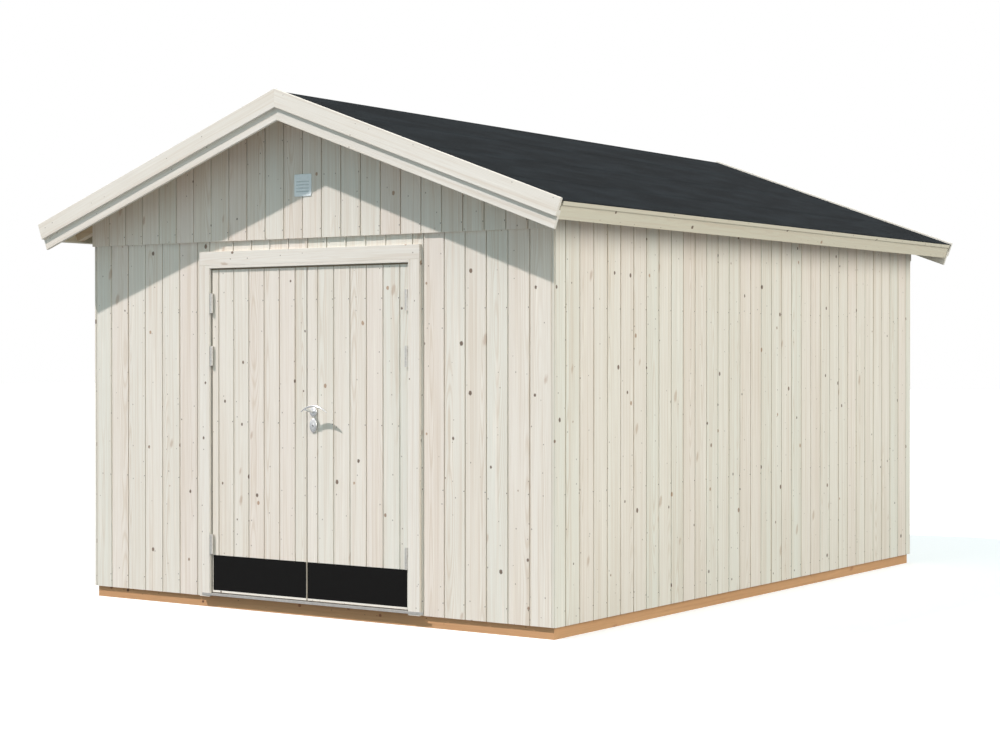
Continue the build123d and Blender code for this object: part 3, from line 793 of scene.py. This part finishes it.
# %% Door boards
leaf_grooves = {
    "left": np.linspace(-0.6348, -0.0703, 6),
    "right": np.linspace(0.0898, 0.654, 6),
}
half_gap = 0.003
foot_behind, foot_proud = 0.001, 0.0014
for side, seed in (("left", 80), ("right", 81)):
    leaf_low, leaf_high = limits(f"{side}_door_boards")
    edges = edges_between(leaf_low[0] - half_gap, leaf_grooves[side], leaf_high[0] + half_gap)
    section = grooved(edges, -leaf_high[1], -leaf_low[1], depth=0.007)
    section[..., 0] = np.clip(section[..., 0], leaf_low[0], leaf_high[0])
    leaf = boards(
        f"{side}_leaf_boards", section, leaf_low[2], leaf_high[2], X, BACK_Y, Z, seed)
    dress(leaf, f"{side}_door", cladding_wood, "door_timber", f"{side}_door_boards")
    kick_low, kick_high = limits(f"{side}_kick_plate")
    foot = rounded(
        leaf_low[2], kick_low[2], -leaf_low[1] - foot_behind, -leaf_low[1] + foot_proud,
        radius=0.0005)
    lath = boards(f"{side}_leaf_foot", foot, kick_low[0], kick_high[0], Z, BACK_Y, X, seed + 10)
    dress(lath, f"{side}_door", trim_wood, "door_timber")

# %% [markdown]
# ## Floor and frame inside
# Through the open doors the floor, the frame, the rafters and the ledges of the doors can be
# seen. Their solids are true already, so they keep their own meshes and get wood turned to run
# along each timber. The floor is laid with boards of its own.

# %% Floor boards and plain timbers
floor_low, floor_high = limits("floor_boards")
floor_rows = 28
floor_edges = np.linspace(floor_low[0], floor_high[0], floor_rows + 1)
section = grooved(
    floor_edges, floor_low[2], floor_high[2], gap=0.0015, depth=0.004, bevel=0.0005)
floor_boards = boards(
    "floor_board_set", section, floor_low[1], floor_high[1], X, Z, Y, 90)
dress(floor_boards, "shed", bare_boards, "frame_timber", "floor_boards")


def refinish(material, *names):
    """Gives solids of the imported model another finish."""
    for name in names:
        slots = nodes[name].data.materials
        slots.clear()
        slots.append(material)
    print(material.name, "on", *names)


refinish(treated_timber["x"], "end_bearers", "floor_joists")
refinish(treated_timber["y"], "side_bearers")
refinish(bare_timber["x"], "end_wall_plates", "left_rafters", "right_rafters", "roof_ties")
refinish(bare_timber["y"], "side_wall_plates", "ridge_board", "eave_blocks")
refinish(bare_timber["z"], "wall_studs")
refinish(washed_timber, "left_door_ledges", "right_door_ledges")

# %% [markdown]
# ## Metal
# The kick plates are black painted sheet, the hinges galvanised, the sill a dull grey strip, the
# vent a pale painted plate, the handle satin metal and the nail heads dull steel. Paint is not
# metallic in the shader's sense; bare metal is. Fine noise in the roughness and the relief keeps
# each from looking like plastic.

# %% Metal materials
def metal(name, colour, metallic, roughness, mottle=0.08, scale=40.0, grime=0.15,
          relief=0.12, specular=None):
    """A metal or painted finish, with soft patches that are a little darker and rougher."""
    material, tree, shader = principled(name)
    own = node(tree, "ShaderNodeTexCoord").outputs["Object"]
    patches = noise(tree, own, scale, 3.0, 0.6)
    darker = tuple(c * (1.0 - grime) for c in colour[:3]) + (1.0,)
    shade = mix(tree, ease(tree, patches, 0.35, 0.7), colour, darker)
    tree.links.new(shade, shader.inputs["Base Color"])
    least = max(roughness - mottle, 0.05)
    rough = ease(tree, patches, 0.2, 0.8, least, roughness + mottle)
    tree.links.new(rough, shader.inputs["Roughness"])
    shader.inputs["Metallic"].default_value = metallic
    if specular is not None:
        shader.inputs["Specular IOR Level"].default_value = specular
    fine = noise(tree, own, scale * 12.0, 1.0)
    bump = node(tree, "ShaderNodeBump", {"Strength": relief, "Distance": 0.0004, "Height": fine})
    tree.links.new(bump.outputs[0], shader.inputs["Normal"])
    return material


kick_paint = metal("black_kick_paint", (0.005, 0.005, 0.005, 1.0), 0.0, 0.5,
                   mottle=0.1, scale=9.0, specular=0.12)
galvanised = metal("galvanised_steel", (0.66, 0.66, 0.63, 1.0), 0.75, 0.42, scale=90.0)
sill_metal = metal("sill_aluminium", (0.52, 0.52, 0.50, 1.0), 0.6, 0.5)
vent_paint = metal("vent_paint", (0.88, 0.96, 0.99, 1.0), 0.0, 0.4,
                   mottle=0.05, scale=60.0, grime=0.06)
handle_satin = metal("satin_handle", (0.82, 0.84, 0.85, 1.0), 0.85, 0.24,
                     mottle=0.02, scale=30.0, grime=0.03, relief=0.015)
nail_steel = metal("nail_steel", (0.16, 0.15, 0.13, 1.0), 0.3, 0.6, mottle=0.1, scale=200.0)
dark_gap = metal("keyhole_shade", (0.02, 0.02, 0.02, 1.0), 0.0, 0.7, mottle=0.1, scale=200.0)

refinish(kick_paint, "left_kick_plate", "right_kick_plate")
refinish(galvanised, "frame_hinges", "left_door_hinges", "right_door_hinges")
refinish(sill_metal, "sill")
refinish(vent_paint, "vent_grille")

# %% [markdown]
# ## Lever
# The handle is a cast arch: thick in the middle, thin at both tips, with an oval section. It
# stands on a round neck that leans up from the rose. Each face of the door has one. A tube
# along a path serves for both parts: rings of points, joined, and mirrored for the inner face.

# %% Lever
lever_x, lever_z = 0.0635, 1.125
lever_low, lever_high = limits("lever_handle")
plate_low, plate_high = limits("lock_plates")
middle_y = (plate_low[1] + plate_high[1]) / 2
rose_depth = 0.011
grip_y = lever_low[1] + 0.0065
grip_behind = 0.0035
bow_height = 0.034
tip_share = 0.04
neck_radius, neck_flare, neck_rise = 0.0088, 0.0012, 0.016


def full_turn(count):
    """Angles of a full turn, as one row."""
    return np.linspace(0.0, math.tau, count, endpoint=False)[None, :]


def tube(name, rings, inside):
    """A closed surface through rings of points, shaped rings x points x 3, with both ends
    capped. For the inner face of the door the same rings are mirrored across the leaf."""
    rings = np.array(rings, float)
    if inside:
        rings[..., 1] = 2 * middle_y - rings[..., 1]
        rings = rings[:, ::-1]
    count, around = rings.shape[:2]
    numbers = np.arange(count * around).reshape(count, around)
    following = np.roll(numbers, -1, axis=1)
    quads = np.stack([numbers[:-1], following[:-1], following[1:], numbers[1:]], -1)
    faces = quads.reshape(-1, 4).tolist() + [numbers[0, ::-1].tolist(), numbers[-1].tolist()]
    made = mesh_object(name, rings.reshape(-1, 3), faces, smooth=True)
    made.data.polygons.foreach_set("use_smooth", np.arange(len(faces)) < len(faces) - 2)
    return made


def grip_rings():
    """Rings of an ellipse along the arch: height 0.034 (1 - w^2) over the tips, where w runs
    from -1 to 1, half height 3 to 7 mm and half depth 4 to 10 mm, closing at the tips."""
    w = np.linspace(-1.0, 1.0, 49)[:, None]
    turn = full_turn(24)
    bow = 1.0 - w**2
    from_tip = np.minimum(1.0, (1.0 - np.abs(w)) / tip_share)
    closing = np.sqrt(np.clip(1.0 - (1.0 - from_tip)**2, 0.02, 1.0))
    middle_x, reach = (lever_low[0] + lever_high[0]) / 2, (lever_high[0] - lever_low[0]) / 2
    x = middle_x + reach * w + 0 * turn
    y = grip_y + grip_behind + closing * (0.004 + 0.006 * bow) * np.sin(turn)
    z = lever_z + bow_height * bow + closing * (0.003 + 0.004 * bow) * np.cos(turn)
    return np.stack([x, y, z], -1)


def neck_rings():
    """Rings of a circle from the rose to the grip, 16 mm higher there, a little wider below."""
    s = np.linspace(0.0, 1.0, 17)[:, None]
    turn = full_turn(24)
    radius = neck_radius + neck_flare * np.exp(-6.0 * s)
    x = lever_x - radius * np.cos(turn)
    y = plate_low[1] + rose_depth + (grip_y - plate_low[1] - rose_depth) * s + 0 * turn
    z = lever_z + neck_rise * np.clip(s - 0.12, 0.0, 1.0) / 0.88 + radius * np.sin(turn)
    return np.stack([x, y, z], -1)


print("lever from", lever_low, "to", lever_high)

# %% [markdown]
# ## Rose, key plate and keyhole
# The plates are discs, round under the lever and stretched to an oval round the lock. Turning
# an outline gives round ones only, so each is a tube whose rings are ellipses: an outline says
# how far each lies from the leaf and how large it is. The keyhole is two thin dark discs.

# %% Plates
leaf_front = -limits("right_door_boards")[0][1]
key_z = lever_z - 0.074
rose_outline = [(1.0, 0.0), (1.0, 0.005), (0.97, 0.0072), (0.88, 0.0086), (0.78, 0.009),
                (0.44, 0.009)]
key_outline = rose_outline[:-1] + [(0.5, 0.0094), (0.2, 0.0096)]
barrel_outline = [(1.0, 0.009), (1.0, 0.0105), (0.94, 0.011), (0.86, 0.011)]
keyhole_outline = [(1.0, 0.010), (1.0, 0.0111)]


def disc_rings(height, half_width, half_height, outline):
    """Rings of an ellipse for each (share of the size, distance from the leaf) of an outline."""
    share, out = np.array(outline).T[..., None]
    turn = full_turn(40)
    x = lever_x - half_width * share * np.cos(turn)
    y = -leaf_front - out + 0 * turn
    z = height + half_height * share * np.sin(turn)
    return np.stack([x, y, z], -1)


parts = (
    ("grip", grip_rings(), "lever", handle_satin, "lever_handle"),
    ("neck", neck_rings(), "lever", handle_satin, "lever_handle"),
    ("rose", disc_rings(lever_z, 0.026, 0.026, rose_outline),
     "right_door", handle_satin, "lock_plates"),
    ("key_plate", disc_rings(key_z, 0.025, 0.040, key_outline),
     "right_door", handle_satin, "lock_plates"),
    ("key_barrel", disc_rings(key_z, 0.0085, 0.0085, barrel_outline),
     "right_door", handle_satin, "lock_plates"),
    ("keyhole_round", disc_rings(key_z + 0.001, 0.0028, 0.0028, keyhole_outline),
     "right_door", dark_gap),
    ("keyhole_slot", disc_rings(key_z - 0.002, 0.0013, 0.006, keyhole_outline),
     "right_door", dark_gap),
)
for inside, face in ((False, "outer"), (True, "inner")):
    for label, rings, body, material, *solid in parts:
        made = tube(f"{face}_{label}", rings, inside)
        dress(made, body, material, "handle_metal", *solid)

# %% [markdown]
# ## Nails
# The boards are nailed beside each groove to the rails behind them, in rows that run round the
# shed at one height. A nail head is a small dark disc that stands half a millimetre proud. It is
# a short prism like the boards, with a round outline, carried along the wall's own normal.

# %% Nail heads
nail_radius, nail_corners, nail_aside = 0.003, 10, 0.0075
nail_deep, nail_proud = 0.001, 0.0005
wall_rows, leaf_rows = (0.14, 0.73, 1.68), (1.06, 1.74)
gable_row, top_row = 2.125, 2.62
gable_half, top_half = 1.5, 0.5


def nails(name, grooves, rows, face, across, along, body, seed):
    """Round prisms at every pair of a groove and a row, from inside the face to just over it."""
    place, row = np.meshgrid(np.asarray(grooves) - nail_aside, rows)
    turn = full_turn(nail_corners)
    section = np.stack([place.ravel()[:, None] + nail_radius * np.cos(turn),
                        row.ravel()[:, None] + nail_radius * np.sin(turn)], -1)
    low, high = face - nail_deep, face + nail_proud
    heads = boards(name, section, low, high, across, Z, along, seed)
    dress(heads, body, nail_steel, "hinge_steel")


nails("right_wall_nails", side_grooves, wall_rows, side_high[0], Y, X, "shed", 101)
nails("left_wall_nails", side_grooves, wall_rows, side_high[0], Y, BACK_X, "shed", 102)
front_grooves = np.concatenate([left_grooves, right_grooves])
nails("front_wall_nails", front_grooves, wall_rows, front_face, X, BACK_Y, "shed", 103)
nails("back_wall_nails", back_grooves, wall_rows, front_face, X, Y, "shed", 104)
gable_face = -gable_low[1]
gable_nails = gable_grooves[np.abs(gable_grooves) < gable_half]
top_nails = gable_grooves[np.abs(gable_grooves) < top_half]
for name, out, seed in (("front", BACK_Y, 105), ("back", Y, 107)):
    nails(f"{name}_gable_nails", gable_nails, (gable_row,), gable_face, X, out, "shed", seed)
    nails(f"{name}_top_nails", top_nails, (top_row,), gable_face, X, out, "shed", seed + 1)
for side, seed in (("left", 111), ("right", 112)):
    nails(f"{side}_leaf_nails", leaf_grooves[side], leaf_rows, leaf_front, X, BACK_Y,
          f"{side}_door", seed)

# %% [markdown]
# ## Stage
# A pale floor keeps the shadow. The camera sees it almost white, but the shed gets less light
# back from it. The camera also sees a white sky, while the sky's light on the shed is dimmer
# and a little blue.

# %% Floor and sky
floor_half = 60.0
floor_shade, floor_pale = (0.26, 0.26, 0.26, 1.0), (0.75, 0.75, 0.75, 1.0)
floor_glow = 0.45
sky_light, sky_tone = 0.517, (0.743, 1.0, 1.067, 1.0)
white = (1.0, 1.0, 1.0, 1.0)

floor_corners = np.array([[-1, -1, 0], [1, -1, 0], [1, 1, 0], [-1, 1, 0]]) * floor_half
floor_mesh = mesh_object("stage_floor", floor_corners, [[0, 1, 2, 3]])
floor_look, floor_tree, floor_shader = principled("stage_floor_finish")
floor_seen = node(floor_tree, "ShaderNodeLightPath").outputs["Is Camera Ray"]
floor_colour = mix(floor_tree, floor_seen, floor_shade, floor_pale)
floor_tree.links.new(floor_colour, floor_shader.inputs["Base Color"])
floor_shader.inputs["Emission Color"].default_value = white
glow = calc(floor_tree, "MULTIPLY", floor_seen, floor_glow)
floor_tree.links.new(glow, floor_shader.inputs["Emission Strength"])
floor_shader.inputs["Roughness"].default_value = 0.95
floor_shader.inputs["Specular IOR Level"].default_value = 0.0
floor_mesh.data.materials.append(floor_look)

scene = bpy.context.scene
world = bpy.data.worlds.new("studio")
world.use_nodes = True
scene.world = world
sky_tree = world.node_tree
path = node(sky_tree, "ShaderNodeLightPath").outputs
seen = calc(sky_tree, "MAXIMUM", path["Is Camera Ray"], path["Is Glossy Ray"])
seen = calc(sky_tree, "MAXIMUM", seen, path["Is Transmission Ray"])
sky = sky_tree.nodes["Background"]
sky_tree.links.new(mix(sky_tree, seen, sky_tone, white), sky.inputs["Color"])
sky_strength = remap(sky_tree, seen, 0.0, 1.0, sky_light, 1.0)
sky_tree.links.new(sky_strength, sky.inputs["Strength"])
print("floor", 2 * floor_half, "m wide, sky light", sky_light)

# %% [markdown]
# ## Lamps
# The key lamp shines from the upper left and is narrow, so it throws the clear shadow of the
# roof on the gable. The other shines from the right, is very wide, and lights the long side
# wall softly. Both are warm, which the blue of the sky evens out.

# %% Lamps
def sun(name, direction, strength, softness, colour):
    """A distant lamp that shines along the direction; softness is its angle in degrees."""
    lamp = bpy.data.lights.new(name, "SUN")
    lamp.energy = strength
    lamp.angle = math.radians(softness)
    lamp.color = colour
    made = bpy.data.objects.new(name, lamp)
    scene.collection.objects.link(made)
    made.rotation_euler = Vector(direction).to_track_quat("-Z", "Y").to_euler()
    print(name, "of strength", strength, "and", softness, "degrees")


sun("key_lamp", (0.721, 1.0, -1.562), 3.38, 1.2, (1.0, 0.905, 0.895))
sun("side_lamp", (-0.95, 0.05, -0.42), 2.08, 50.0, (1.0, 0.905, 0.81))

# %% [markdown]
# ## Camera
# The place, the turn and the length of the lens were worked out from the straight edges of the
# shed in the photograph. The eye stands 1.46 m above the ground and looks almost level.

# %% Camera
eye = bpy.data.cameras.new("eye")
eye.sensor_width = 36.0
eye.lens = 72.02
eye.shift_y = -0.0116
eye.dof.use_dof = False
camera = bpy.data.objects.new("eye", eye)
scene.collection.objects.link(camera)
camera.location = (7.0979, -10.6934, 1.4572)
camera.rotation_euler = (math.radians(89.6482), 0.0, math.radians(34.4885))
scene.camera = camera
scene.view_settings.view_transform = "Standard"
print("camera at", tuple(camera.location), "lens", eye.lens)
